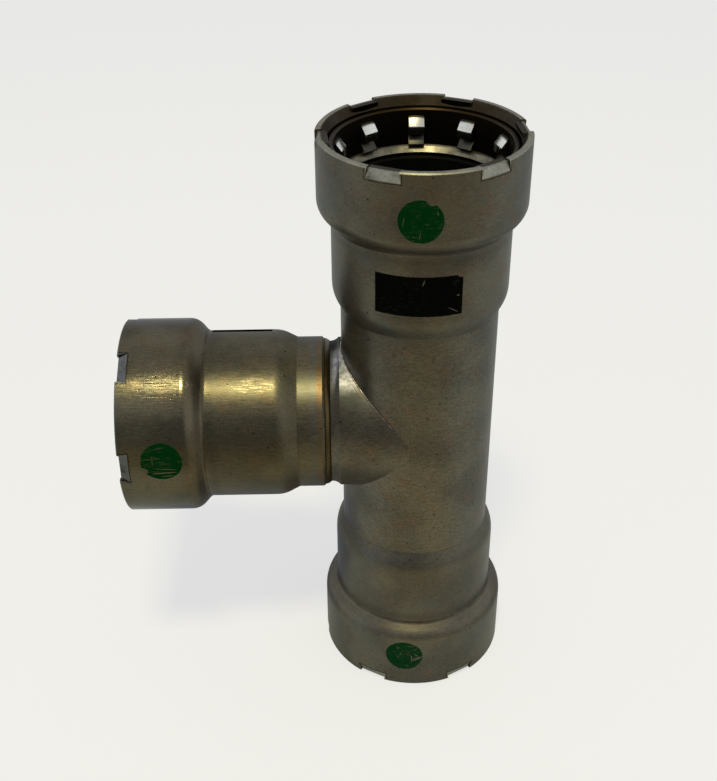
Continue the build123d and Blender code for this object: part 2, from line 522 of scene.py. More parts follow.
@dataclass(frozen=True)
class CoatedSteel(Material):
    """Dull passivated coat on formed steel, with stains, specks, scratches, bare crimps and paint."""

    tints: Tints
    grain_axis: Vector
    lay_scale: tuple[float, float, float]
    shoulder_stain: float = 0.5
    # How dark the line at the throat is
    throat_darkening: float = 0.15
    film_share: float = 0.4
    # Painted light on the slopes that lean away from the mouth; below zero it is painted shade
    slope_light: float = 0.0
    narrow_dulling: float = 0.0
    slope_dulling: float = 0.13
    grain_contrast: float = 1.0
    lay_gloss: float = 0.0
    pitting: float = 1.0
    heat_tint: float = 0.0
    neck_depth: float = 36.9
    roughness: float = 0.25
    paint_dulling: float = 0.15
    bump_mm: float = 0.022
    rim_radius: float = 17.9
    crimp_depth: float = 1.9
    crimp_half: float = 3.0
    facet_soft_edge: float = 0.08
    shoulder_depth: float = 13.8
    crease_depth: float = 15.05
    throat_depth: float = 31.7
    edge_tint: Colour = (0.8, 0.81, 0.83)
    middle_heights: Span = (27.0, 20.0)
    rim_depths: Span = (4.0, 3.0)
    mouth_depths: Span = (14.0, 12.0)
    socket_depths: Span = (14.0, 17.0)
    throat_depths: Span = (29.0, 31.0)
    collar_depths: Span = (44.5, 41.5)
    collar_radii: Span = (14.6, 14.3)
    # Where the collar's painted highlight, its painted shade beside the weld and the painted highlight at
    # its root lie
    collar_highlight_depths: Span = (37.4, 38.8)
    collar_shade_depths: Span = (40.8, 37.8)
    collar_highlight_gap: Span = (1.1, 0.1)
    run_radius: float = 14.15
    crossing_height: float = 28.1
    collar: PressEnd | None = None
    marks: tuple[Mark, ...] = ()
    scuffs: TurnedStrokes = ()
    # Painted highlights, in rubbed streaks
    rubbed_highlights: TurnedStrokes = ()

    def build(self, ends: Sequence[PressEnd]) -> bpy.types.Material:
        """Make the material.

        Args:
            ends: The press ends that this piece carries.

        Returns:
            The finished material.
        """
        made, graph, surface = self.start()
        coat = self.first_coat(surface)
        if self.collar is not None:
            self.paint_collar_light(coat, EndFields(surface, self.collar))
        for end in ends:
            fields = EndFields(surface, end)
            for step in (self.dull, self.weather, self.bare_steel, self.paint, self.rubbed_highlight):
                step(coat, fields)
        inputs = {
            "Base Color": coat.colour,
            "Metallic": 1.0 - coat.painted,
            "Roughness": coat.rough + coat.painted * self.paint_dulling,
            "Specular IOR Level": 0.0,
            "Specular Tint": (*self.edge_tint, 1.0),
        }
        self.close(graph, inputs, coat.height, self.bump_mm)
        return made

    def first_coat(self, surface: Surface) -> Coat:
        """The coat all over, with its grain, draw lines, scores and specks.

        Args:
            surface: The place on the surface and its normal.

        Returns:
            The coat, before what belongs to one part of the surface.
        """
        graph, place = surface.graph, surface.place
        patch = graph.noise(place, 0.3, 4.0, 0.6)
        fine = graph.noise(place, 2.4, 3.0, 0.7)
        micro = graph.noise(place, 6.5, 2.0)
        lay = graph.noise(graph.stretched(place, self.lay_scale), 1.0, 2.0)
        grain = 0.9 * fine + micro * 0.55 + lay * 0.6
        middle = graph.ramp(abs(graph.dot(place, UP) - self.crossing_height), *self.middle_heights)
        contrast = 1.0 + (grain - 1.0) * (0.6 + middle * 0.4) * self.grain_contrast
        lines, scores = self.streaks(surface), self.scores(surface)
        specks = graph.larger(graph.specks(place, 0.4, 0.09, 0.4), graph.specks(place, 0.9, 0.12, 0.16))
        dirt = graph.larger(specks, scores * 0.7)
        rough = self.roughness + patch * 0.06 + fine * 0.14 + (lay - 0.5) * self.lay_gloss
        height = (fine * 0.5 + micro * 0.25) * self.pitting + lay * 0.6 - lines * 0.3 - dirt * 0.4
        coat = Coat(graph, surface, patch, fine, lay, self.films(place, patch), rough, height)
        coat.shade(contrast)
        coat.cover(lines * 0.5, self.tints.light)
        coat.cover(dirt * 0.8, self.tints.grime_and_shade)
        return coat

    def films(self, place: Socket, patch: Signal) -> Socket:
        """The coat's own colour, blotchy with brown and blue films.

        Args:
            place: The place on the surface, in millimetres.
            patch: Blotchy noise.

        Returns:
            The colour.
        """
        graph, tints = patch.graph, self.tints
        broad = graph.noise(place, 0.09, 3.0)
        moved = graph.vector("ADD", place, (31.0, 17.0, 5.0))
        other = graph.noise(moved, 0.16, 3.0, 0.6)
        colour = graph.blend(graph.ramp(broad, 0.38, 0.62), tints.dark, tints.light)
        colour = graph.blend(graph.ramp(patch, 0.5, 0.7) * 0.5, colour, tints.warm)
        return graph.blend(graph.ramp(other, 0.54, 0.7) * 0.3, colour, tints.cool)

    def streaks(self, surface: Surface) -> Signal:
        """Fine draw lines along the tube, broken up by soft noise.

        Args:
            surface: The place on the surface and its normal.

        Returns:
            1 on a line and 0 off it.
        """
        graph, place = surface.graph, surface.place
        across, along = 5.0, 0.12
        scale = [along if abs(part) > 0.5 else across for part in self.grain_axis]
        lines = graph.noise(graph.stretched(place, scale), 1.0, 1.0)
        breaks = graph.noise(place, 0.22, 2.0)
        return graph.ramp(lines, 0.62, 0.72) * graph.ramp(breaks, 0.42, 0.6)

    def scores(self, surface: Surface) -> Signal:
        """Short dark scores, some at two odd angles and more of them with the lay.

        Args:
            surface: The place on the surface and its normal.

        Returns:
            1 on a score and 0 off it.
        """
        graph, place = surface.graph, surface.place
        found: Number = 0.0
        for turn in ((0.5, 0.3, 1.1), (1.2, -0.7, 0.4)):
            lines = graph.noise(graph.stretched(place, (0.5, 6.0, 3.0), turn), 1.0, 1.0)
            found = graph.larger(found, graph.ramp(lines, 0.7, 0.76))
        short = graph.noise(graph.stretched(place, self.lay_scale, (0.15, 0.1, 0.0)), 1.1, 1.0)
        worn = graph.ramp(graph.noise(place, 0.12, 2.0), 0.42, 0.6)
        found = found * graph.ramp(graph.noise(place, 0.35, 2.0), 0.5, 0.6)
        return graph.larger(found, graph.ramp(short, 0.68, 0.76) * worn * 0.8)

    def paint_collar_light(self, coat: Coat, fields: EndFields) -> None:
        """Paint light and shade on the drawn collar and make it duller than the run: a speckled silver
        painted highlight on its upper front, a painted highlight at its root, and painted shade at its top,
        beside the weld and below the highlight.

        Args:
            coat: The coat so far.
            fields: The branch's coordinates.
        """
        graph, place, normal = coat.graph, coat.surface.place, coat.surface.normal
        on_collar = graph.ramp(fields.depth, *self.collar_depths)
        on_collar = on_collar * graph.ramp(fields.radius, *self.collar_radii)
        upward = graph.dot(normal, UP)
        # The upper side, which takes a cool tint and the painted highlight at the root
        high = graph.ramp(upward, 0.4, 0.8)
        # Painted shade on the collar's top, where it faces back and up
        back = graph.ramp(graph.dot(normal, BACK), -0.2, 0.15) * graph.ramp(upward, 0.55, 0.85)
        upper = graph.ramp(upward, 0.05, 0.4)
        mottle = graph.ramp(graph.noise(place, 1.3, 2.0, 0.6), 0.3, 0.7)
        # Painted highlight on the upper front, where the key lamp's highlight should fall
        painted_highlight = graph.ramp(upward, 0.68, 0.82) * (1.0 - back)
        painted_highlight = painted_highlight * graph.ramp(fields.depth, *self.collar_highlight_depths)
        # A cool tint on the upper side, and the silver colour of the painted highlight
        coat.cover(on_collar * high * 0.4, self.tints.cool)
        coat.cover(on_collar * painted_highlight * 0.8, self.tints.highlight_silver)
        across = graph.dot(place, BACK)
        reach = graph.math("SQRT", graph.larger(self.run_radius * self.run_radius - across * across, 0.0))
        gap = -graph.dot(place, RIGHT) - reach
        # Painted highlight along the collar's root, where it meets the run
        root_highlight = graph.ramp(gap, *self.collar_highlight_gap) * on_collar * high
        # Painted shade beside the weld, outside the painted highlight
        weld_side_shade = graph.ramp(fields.depth, *self.collar_shade_depths) * on_collar * (1.0 - painted_highlight) * upper
        # The speckled painted highlight, with painted shade below it on the upper side
        painted_light = on_collar * (painted_highlight * (0.4 + mottle * 1.6) - (1.0 - painted_highlight) * upper * 0.3) + root_highlight * 0.8
        # Painted shade at the top and beside the weld, times the painted light
        coat.shade((1.0 - weld_side_shade * 0.3 - on_collar * back * 0.5) * (1.0 + painted_light))
        coat.rough = coat.rough + on_collar * (0.08 - painted_highlight * 0.06)

    def dull(self, coat: Coat, fields: EndFields) -> None:
        """Roughen the socket, the throat and the slopes that lean away from the mouth.

        Args:
            coat: The coat so far.
            fields: The press end's coordinates.
        """
        graph = coat.graph
        socket = graph.ramp(fields.depth, *self.socket_depths) * 0.13 * self.narrow_dulling
        throat = graph.ramp(fields.depth, *self.throat_depths) * 0.06 * self.narrow_dulling
        coat.rough = coat.rough + socket + throat + graph.ramp(fields.lean, 0.1, 0.5) * self.slope_dulling

    def weather(self, coat: Coat, fields: EndFields) -> None:
        """Add the stain on the shoulder, painted light on the slopes, darkening at the creases and the
        throat, the films and the heat tint.

        Args:
            coat: The coat so far.
            fields: The press end's coordinates.
        """
        graph, tints, patch = coat.graph, self.tints, coat.patch
        stain = fields.band(self.shoulder_depth, 1.2, 0.2) * (0.5 + patch)
        coat.cover(stain * self.shoulder_stain, tints.warm)
        # Painted light on slopes that lean away from the mouth; a share below zero makes it painted shade
        slope = graph.ramp(fields.lean, 0.1, 0.45) * graph.ramp(fields.facing, 0.0, 0.3)
        coat.shade(1.0 + slope * self.slope_light)
        # A darker band past the crease, then dark lines in the crease and at the throat
        coat.cover(fields.band(self.crease_depth + 1.3, 0.4, 3.0) * 0.4, tints.dull)
        near = fields.band(self.crease_depth + 1.4, 0.9, 1.4)
        throat = fields.band(self.throat_depth - 2.6, 0.9, 1.6)
        film = graph.larger(near, throat) * graph.ramp(patch, 0.4, 0.62)
        coat.cover(film * self.film_share, tints.cool)
        crease = fields.band(self.crease_depth, 0.16, 0.25) * graph.ramp(patch, 0.3, 0.55)
        coat.cover(crease * 0.45, tints.grime_and_shade)
        pinch = fields.band(self.throat_depth, 0.14, 0.22) * (0.4 + patch)
        coat.cover(pinch * self.throat_darkening, tints.grime_and_shade)
        blue = fields.band(self.neck_depth - 2.4, 0.3, 1.4) * self.heat_tint
        straw = fields.band(self.neck_depth - 1.2, 0.35, 1.1) * self.heat_tint
        coat.cover(blue * (0.1 + patch * 0.35), tints.blue)
        coat.cover(straw * graph.ramp(patch, 0.3, 0.75) * 0.5, tints.straw)

    def bare_steel(self, coat: Coat, fields: EndFields) -> None:
        """Bare the crimps and the rim's outer ring, with dark edges, painted shade inside the mouth, and
        the rim's top darkened inside its bare outer ring.

        Args:
            coat: The coat so far.
            fields: The press end's coordinates.
        """
        graph, grime_and_shade, patch, uneven = coat.graph, self.tints.grime_and_shade, coat.patch, coat.fine - 0.5
        outside = graph.ramp(fields.facing, 0.1, 0.4)
        ragged, soft = uneven * 0.35, self.facet_soft_edge
        arc, depth = abs(fields.crimp_arc()) + ragged, fields.depth + ragged

        def facet(spare: float) -> Signal:
            """The facet's outline, grown by a spare length."""
            half, reach = self.crimp_half + spare, self.crimp_depth + spare
            return graph.ramp(arc, half + soft, half - soft) * graph.ramp(depth, reach + soft, reach - soft)

        bare = facet(0.0) * graph.ramp(patch, 0.2, 0.45) * outside
        edge = facet(0.22) * (1.0 - bare) * outside
        metal = graph.shade(self.tints.bare, 0.05 + patch * 0.9 + coat.fine * 0.9)
        coat.cover(edge * 0.8, grime_and_shade)
        coat.cover(bare, metal)
        # Painted shade inside the mouth
        inside = graph.ramp(fields.facing, -0.05, -0.35) * graph.ramp(fields.depth, *self.mouth_depths)
        coat.cover(inside * (0.6 + patch * 0.5), grime_and_shade)
        # The rim's top is darkened inside its bare outer ring
        top = graph.ramp(fields.lean, -0.3, -0.7) * graph.ramp(fields.depth, *self.rim_depths)
        outer = graph.ramp(fields.radius + uneven * 0.3, self.rim_radius - 1.1, self.rim_radius - 0.7)
        coat.cover(top * (1.0 - outer) * 0.75, grime_and_shade)
        coat.cover(top * outer * 0.85, metal)

    def paint(self, coat: Coat, fields: EndFields) -> None:
        """Add the painted marks of one press end, thin where the lay and the blotches meet.

        Args:
            coat: The coat so far.
            fields: The press end's coordinates.
        """
        graph = coat.graph
        for mark in self.marks:
            if mark.end is fields.end.end:
                paint = mark.mask(fields, coat.fine)
                thin = graph.ramp(coat.lay, 0.5, 0.75) * graph.ramp(coat.patch, 0.35, 0.65) * mark.wear
                coat.cover(paint * (1.0 - thin), mark.colour)
                coat.painted = graph.larger(coat.painted, paint)

    def rubbed_highlight(self, coat: Coat, fields: EndFields) -> None:
        """Paint the highlight patches, streaked like rubbing, and cut the dark scuffs.

        Args:
            coat: The coat so far.
            fields: The press end's coordinates.
        """
        graph = coat.graph
        # Painted highlight where the key lamp's highlight falls, in rubbed streaks
        for turn_deg, stroke in self.rubbed_highlights:
            rubbed_highlight = fields.stroke(turn_deg, stroke)
            streak = graph.ramp(coat.lay, 0.4, 0.6) * graph.ramp(coat.fine, 0.3, 0.55)
            coat.shade(1.0 + rubbed_highlight * (streak * 0.95 - 0.05))
            coat.rough = coat.rough + rubbed_highlight * (0.03 - streak * 0.055)
        for turn_deg, stroke in self.scuffs:
            scuff = fields.stroke(turn_deg, stroke) * graph.ramp(coat.fine, 0.35, 0.5)
            coat.cover(scuff * 0.8, self.tints.grime_and_shade)
            coat.height = coat.height - scuff * 1.2


@dataclass(frozen=True)
class PlainMetal(Material):
    """Bright or tinted metal with fine turned lines."""

    first: Colour
    second: Colour
    roughness: float
    patch_per_mm: float = 0.5
    bump_mm: float = 0.002

    def build(self) -> bpy.types.Material:
        """Make the material.

        Returns:
            The finished material.
        """
        made, graph, surface = self.start()
        patch = graph.noise(surface.place, self.patch_per_mm, 3.0, 0.6)
        fine = graph.noise(surface.place, 5.0, 2.0)
        colour = graph.blend(graph.ramp(patch, 0.35, 0.65), self.first, self.second)
        inputs = {
            "Base Color": graph.shade(colour, 0.8 + fine * 0.4),
            "Metallic": 1.0,
            "Roughness": self.roughness + (patch - 0.5) * 0.12 + (fine - 0.5) * 0.08,
        }
        self.close(graph, inputs, fine, self.bump_mm)
        return made


@dataclass(frozen=True)
class GripSteel(Material):
    """Bright hardened steel with painted shade on its wall and its lower row of teeth, brown with old
    grease along the ring's upper edge.
    """

    clean: Colour
    dull: Colour
    # Painted shade on the wall and the lower row of teeth
    shade_colour: Colour
    grease: Colour
    roughness: float
    edge_depth: float
    wall_radius: float
    bump_mm: float = 0.0015

    def build(self, end: PressEnd) -> bpy.types.Material:
        """Make the material.

        Args:
            end: The press end that holds the ring.

        Returns:
            The finished material.
        """
        made, graph, surface = self.start()
        fields = EndFields(surface, end)
        patch = graph.noise(surface.place, 0.6, 3.0, 0.6)
        fine = graph.noise(surface.place, 4.0, 2.0)
        uneven = fine - 0.5
        greasy = graph.ramp(fields.depth + uneven * 0.3, self.edge_depth + 0.55, self.edge_depth + 0.3)
        colour = graph.shade(graph.blend(patch, self.clean, self.dull), 0.7 + fine * 0.6)
        # Painted shade on the wall and on the lower row of teeth, which lie in shade
        wall = graph.ramp(fields.radius + uneven * 0.2, self.wall_radius - 0.45, self.wall_radius - 0.15)
        lower_row_shade = graph.ramp(fields.depth, self.edge_depth + 4.3, self.edge_depth + 5.2)
        painted_shade = graph.larger(wall, lower_row_shade * 0.93)
        colour = graph.blend(painted_shade, colour, self.shade_colour)
        colour = graph.blend(greasy, colour, self.grease)
        rough = self.roughness + (patch - 0.5) * 0.1 + graph.larger(greasy, painted_shade) * 0.2
        inputs = {"Base Color": colour, "Metallic": 1.0, "Roughness": rough}
        self.close(graph, inputs, fine, self.bump_mm)
        return made


@dataclass(frozen=True)
class WeldTint(Material):
    """Heat tinted weld metal: a pale crown between two dark toes."""

    crown: Colour
    toe: Colour
    middle_mm: float
    half_mm: float
    roughness: float = 0.34
    bump_mm: float = 0.012

    def build(self) -> bpy.types.Material:
        """Make the material.

        Returns:
            The finished material.
        """
        made, graph, surface = self.start()
        place = surface.place
        patch = graph.noise(place, 0.7, 3.0, 0.6)
        fine = graph.noise(place, 3.5, 3.0)
        off = abs(graph.dot(place, RIGHT) - self.middle_mm) / self.half_mm
        toe = graph.ramp(off + (fine - 0.5) * 0.5, 0.45, 0.72) * (0.55 + patch * 0.7)
        colour = graph.shade(graph.blend(toe, self.crown, self.toe), 0.7 + fine * 0.6)
        rough = self.roughness + toe * 0.2
        inputs = {"Base Color": colour, "Metallic": 1.0, "Roughness": rough}
        self.close(graph, inputs, fine, self.bump_mm)
        return made


@dataclass(frozen=True)
class BlackRubber(Material):
    """Matt black seal rubber with a faint bloom."""

    rubber: Colour
    bloom: Colour
    roughness: float = 0.5
    bump_mm: float = 0.01

    def build(self) -> bpy.types.Material:
        """Make the material.

        Returns:
            The finished material.
        """
        made, graph, surface = self.start()
        patch = graph.noise(surface.place, 0.6, 3.0)
        fine = graph.noise(surface.place, 6.0, 2.0)
        inputs = {
            "Base Color": graph.blend(graph.ramp(patch, 0.5, 0.75) * 0.5, self.rubber, self.bloom),
            "Roughness": self.roughness + fine * 0.2,
            "Specular IOR Level": 0.04,
        }
        self.close(graph, inputs, fine, self.bump_mm)
        return made


def add_object(name: str, data: bpy.types.ID) -> bpy.types.Object:
    """Add an object to the scene, at the origin.

    Args:
        name: The object's name.
        data: Its mesh, lamp or camera.

    Returns:
        The new object.
    """
    made = bpy.data.objects.new(name, data)
    bpy.context.scene.collection.objects.link(made)
    return made


def new_mesh_object(name: str, shape: bmesh.types.BMesh) -> bpy.types.Object:
    """Turn a bmesh into an object at the origin.

    Args:
        name: The object's name.
        shape: The bmesh, which is freed.

    Returns:
        The new object.
    """
    mesh = bpy.data.meshes.new(name)
    shape.to_mesh(mesh)
    shape.free()
    return add_object(name, mesh)


def spun_ring(name: str, profile: Sequence[tuple[float, float]], segments: int) -> bpy.types.Object:
    """Spin a closed profile round +Z.

    Args:
        name: The new object's name.
        profile: Corners as radius and height, in millimetres, listed so that faces point outwards.
        segments: How many segments the full turn has.

    Returns:
        The ring, as an object at the origin.
    """
    shape = bmesh.new()
    rows = []
    for step in range(segments):
        angle = 2 * math.pi * step / segments
        cos, sin = math.cos(angle) * MM, math.sin(angle) * MM
        rows.append([shape.verts.new((r * cos, r * sin, z * MM)) for r, z in profile])
    for step in range(segments):
        row, following = rows[step], rows[(step + 1) % segments]
        for i in range(len(profile)):
            j = (i + 1) % len(profile)
            shape.faces.new((row[i], following[i], following[j], row[j]))
    bmesh.ops.recalc_face_normals(shape, faces=shape.faces)
    return new_mesh_object(name, shape)


def plain(
    source: bpy.types.Object, name: str, material: bpy.types.Material, matrix: Matrix
) -> bpy.types.Object:
    """Turn an object with live modifiers into a plain mesh in the part's frame.

    Args:
        source: The object, which is removed.
        name: The name of the new object.
        material: The only material of the new object.
        matrix: Where the mesh goes.

    Returns:
        The new object, at the origin, with no modifiers.
    """
    bpy.context.view_layer.update()
    evaluated = source.evaluated_get(bpy.context.evaluated_depsgraph_get())
    mesh = bpy.data.meshes.new_from_object(evaluated)
    bpy.data.objects.remove(source)
    mesh.name = name
    mesh.transform(matrix)
    mesh.materials.clear()
    mesh.materials.append(material)
    return add_object(name, mesh)


class GeometryTree(Graph):
    """A Geometry Nodes tree with named inputs."""

    def __init__(self, name: str) -> None:
        """Start a tree with a geometry input and output.

        Args:
            name: The name of the tree and of its modifier.
        """
        super().__init__(bpy.data.node_groups.new(name, "GeometryNodeTree"))
        for in_out in ("INPUT", "OUTPUT"):
            self.tree.interface.new_socket("Geometry", in_out=in_out, socket_type="NodeSocketGeometry")
        self.source = self.tree.nodes.new("NodeGroupInput")
        self.sink = self.tree.nodes.new("NodeGroupOutput")
        self.values: dict[str, object] = {}

    def input(self, name: str, kind: str, value: object) -> Socket:
        """Add a named input.

        Args:
            name: The input's name.
            kind: The socket type without its prefix, such as Float.
            value: What the modifier sets it to.

        Returns:
            The socket inside the tree.
        """
        made = self.tree.interface.new_socket(name, in_out="INPUT", socket_type=f"NodeSocket{kind}")
        self.values[made.identifier] = value
        return self.source.outputs[name]

    def close(self, geometry: bpy.types.Node, material: Socket) -> None:
        """Make instances real, set the material and end the tree.

        Args:
            geometry: The node whose geometry the tree gives.
            material: The socket that the material comes from.
        """
        real = self.node("GeometryNodeRealizeInstances", {"Geometry": geometry})
        inputs = {"Geometry": real, "Material": material}
        dressed = self.node("GeometryNodeSetMaterial", inputs)
        self.tree.links.new(dressed.outputs[0], self.sink.inputs[0])

    def put_on(self, target: bpy.types.Object) -> None:
        """Put the tree on an object as a modifier and set its inputs.

        Args:
            target: The object.
        """
        modifier = target.modifiers.new(self.tree.name, "NODES")
        modifier.node_group = self.tree
        for identifier, value in self.values.items():
            modifier[identifier] = value


@dataclass(frozen=True)
class ToothRow:
    """One row of teeth on a grip ring, in millimetres: its drop, and a tooth's slope, land and relief."""

    drop: float
    slope: float
    land: float
    relief: float


@dataclass
class GripRing:
    """A toothed ring behind a crimped rim, in the frame of its mouth, in millimetres."""

    end: PressEnd
    outer_radius: float
    top_depth: float
    length: float
    wall: float = 0.9
    edge: float = 0.25
    tooth_count: int = 10
    tooth_width: float = 2.8
    tooth_root: float = 0.3
    tooth_tip_radius: float = 13.6
    tooth_edge_round: float = 0.1
    rows: tuple[ToothRow, ...] = (ToothRow(1.3, 1.6, 1.4, 0.0), ToothRow(4.8, 1.35, 0.25, 0.15))
    segments: int = 192
    sharp_deg: float = 28.0

    def wall_ring(self) -> bpy.types.Object:
        """The plain wall, with small bevels on its upper edges.

        Returns:
            The wall, as an object in the frame of the mouth.
        """
        outer, inner = self.outer_radius, self.outer_radius - self.wall
        top, bottom, edge = -self.top_depth, -self.top_depth - self.length, self.edge
        profile = (
            (outer, bottom), (outer, top - edge), (outer - edge, top),
            (inner + edge, top), (inner, top - edge), (inner, bottom),
        )
        return spun_ring(f"{self.end.end.value}_grip_wall", profile, self.segments)

    def tooth(self, row: ToothRow) -> bpy.types.Object:
        """One tooth: a wedge whose face slopes in from the wall to a short land.

        Args:
            row: The row that the tooth belongs to.

        Returns:
            The tooth, at the origin, with its tip at x = 0, its root at +X and its start at z = 0.
        """
        height = self.outer_radius - self.wall - self.tooth_tip_radius - row.relief
        root, half = height + self.tooth_root, self.tooth_width / 2
        profile = (
            (root, 0.0), (height, 0.0), (0.0, -row.slope),
            (0.0, -row.slope - row.land), (root, -row.slope - row.land),
        )
        shape = bmesh.new()
        sides = [[shape.verts.new(Vector((x, y, z)) * MM) for x, z in profile] for y in (-half, half)]
        shape.faces.new(sides[0])
        shape.faces.new(sides[1][::-1])
        for i in range(len(profile)):
            j = (i + 1) % len(profile)
            shape.faces.new((sides[0][j], sides[0][i], sides[1][i], sides[1][j]))
        bmesh.ops.recalc_face_normals(shape, faces=shape.faces)
        seen = [edge for edge in shape.edges if min(vert.co.x for vert in edge.verts) < height * MM / 2]
        bmesh.ops.bevel(
            shape, geom=seen, offset=self.tooth_edge_round * MM, segments=3, profile=0.5, affect="EDGES")
        return new_mesh_object("tooth", shape)

    def tooth_tree(
        self, row: ToothRow, tooth: bpy.types.Object, material: bpy.types.Material
    ) -> GeometryTree:
        """A tree that sets copies of a tooth round a circle.

        Args:
            row: The row of teeth.
            tooth: The tooth that is repeated.
            material: The finish of the teeth.

        Returns:
            The tree, ready to be put on an object.
        """
        tree = GeometryTree("tooth_row")
        count = tree.input("Tooth Count", "Int", self.tooth_count)
        radius = tree.input("Tip Radius", "Float", (self.tooth_tip_radius + row.relief) * MM)
        height = tree.input("Height", "Float", -(self.top_depth + row.drop) * MM)
        turn = tree.input("Turn", "Float", math.radians(self.end.tooth_turn_deg))
        shape = tree.input("Tooth", "Object", tooth)
        finish = tree.input("Finish", "Material", material)
        step = tree.math("DIVIDE", 2 * math.pi, count)
        angle = tree.math("MULTIPLY_ADD", tree.node("GeometryNodeInputIndex"), step, turn)
        place = tree.node("ShaderNodeCombineXYZ", {
            0: tree.math("COSINE", angle) * radius,
            1: tree.math("SINE", angle) * radius,
            2: height,
        })
        points = tree.node("GeometryNodePoints", {"Count": count, "Position": place})
        rotation = tree.node("ShaderNodeCombineXYZ", {2: angle})
        tooth_mesh = tree.node("GeometryNodeObjectInfo", {"Object": shape}, transform_space="ORIGINAL")
        copies = tree.node("GeometryNodeInstanceOnPoints", {
            "Points": points,
            "Instance": tooth_mesh.outputs["Geometry"],
            "Rotation": rotation,
        })
        tree.close(copies, finish)
        return tree

    def build(self, material: bpy.types.Material) -> bpy.types.Object:
        """Make the ring and let it stand for its CAD node.

        Args:
            material: The finish of the ring and its teeth.

        Returns:
            The finished piece.
        """
        name = self.end.end.value
        wall = plain(self.wall_ring(), f"{name}_toothed_ring", material, self.end.matrix)
        shape = bmesh.new()
        shape.from_mesh(wall.data)
        for row in self.rows:
            tooth = self.tooth(row)
            holder = new_mesh_object("tooth_holder", bmesh.new())
            self.tooth_tree(row, tooth, material).put_on(holder)
            teeth = plain(holder, "teeth", material, self.end.matrix)
            shape.from_mesh(teeth.data)
            for spare in (teeth, tooth):
                bpy.data.objects.remove(spare)
        shape.to_mesh(wall.data)
        shape.free()
        wall.data.set_sharp_from_angle(angle=math.radians(self.sharp_deg))
        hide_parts(f"{name}_grip_ring")
        return ride(wall, Slot.GRIP)


@dataclass
class WeldBead:
    """The narrow weld between collar and branch, a rippled band on a cone, in millimetres."""

    crossing: Vector
    start: float
    width: float
    low_radius: float
    high_radius: float
    inner_low: float
    inner_high: float
    crown: float = 0.13
    ripple_count: int = 150
    ripple_height: float = 0.014
    segments: int = 768
    sharp_deg: float = 40.0
    ripple_lag: float = 1.6

    def profile(self) -> list[tuple[float, float]]:
        """The section of the band, with the crown as a curve.

        Returns:
            Corners as radius and distance along the branch.
        """
        steps = 8
        outer = []
        for i in range(steps + 1):
            share = i / steps
            radius = self.low_radius + (self.high_radius - self.low_radius) * share
            outer.append((radius + self.crown * math.sin(math.pi * share), self.start + self.width * share))
        return [*outer, (self.inner_high, self.start + self.width), (self.inner_low, self.start)]

    def ripple_tree(self, material: bpy.types.Material) -> GeometryTree:
        """A tree that lifts the crown in even ripples round the seam.

        Args:
            material: The finish of the weld.

        Returns:
            The tree, ready to be put on the band.
        """
        tree = GeometryTree("weld_ripples")
        count = tree.input("Ripple Count", "Float", float(self.ripple_count))
        lift = tree.input("Ripple Height", "Float", self.ripple_height * MM)
        inner = tree.input("Inner Radius", "Float", (self.low_radius - 0.02) * MM)
        middle = tree.input("Seam Middle", "Float", (self.start + self.width / 2) * MM)
        half = tree.input("Half Width", "Float", self.width / 2 * MM)
        finish = tree.input("Finish", "Material", material)
        spot = tree.node("ShaderNodeSeparateXYZ", {0: tree.node("GeometryNodeInputPosition")})
        x, y, z = (Signal(tree, part) for part in spot.outputs)
        radius = tree.math("SQRT", x * x + y * y)
        off = (z - middle) / half
        bulge = 1.0 - off * off
        turn = tree.math("ARCTAN2", y, x)
        wave = tree.math("SINE", tree.math("MULTIPLY_ADD", turn, count, bulge * self.ripple_lag))
        height = wave * lift * tree.larger(bulge, 0.0)
        outward = tree.node("ShaderNodeCombineXYZ", {0: x / radius * height, 1: y / radius * height})
        outside = tree.node("FunctionNodeCompare", {0: radius, 1: inner}, operation="GREATER_THAN")
        moved = tree.node("GeometryNodeSetPosition", {
            "Geometry": tree.source.outputs[0],
            "Selection": outside,
            "Offset": outward,
        })
        tree.close(moved, finish)
        return tree

    def build(self, material: bpy.types.Material) -> bpy.types.Object:
        """Make the weld and let it stand for its CAD node.

        Args:
            material: The finish of the weld.

        Returns:
            The finished piece.
        """
        band = spun_ring("weld_band", self.profile(), self.segments)
        self.ripple_tree(material).put_on(band)
        along_branch = TubeAxis(self.crossing, -Vector(RIGHT), Vector(UP))
        matrix = PressEnd(End.BRANCH, along_branch, 0.0, 0.0).matrix
        bead = plain(band, "branch_weld_bead", material, matrix)
        bead.data.set_sharp_from_angle(angle=math.radians(self.sharp_deg))
        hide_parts("branch_weld")
        return ride(bead, Slot.WELD)


def ride(piece: bpy.types.Object, slot: Slot) -> bpy.types.Object:
    """Let a piece move with the one body of the part.

    Args:
        piece: The new piece.
        slot: The record's material slot. It is not used.

    Returns:
        The same piece.
    """
    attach(piece, "root")
    return piece


def dress(node: str, material: bpy.types.Material) -> bpy.types.Object:
    """Give a CAD node a new finish.

    Args:
        node: The node's name.
        material: The finish.

    Returns:
        The node's object.
    """
    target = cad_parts[node]
    target.data.materials.clear()
    target.data.materials.append(material)
    return target


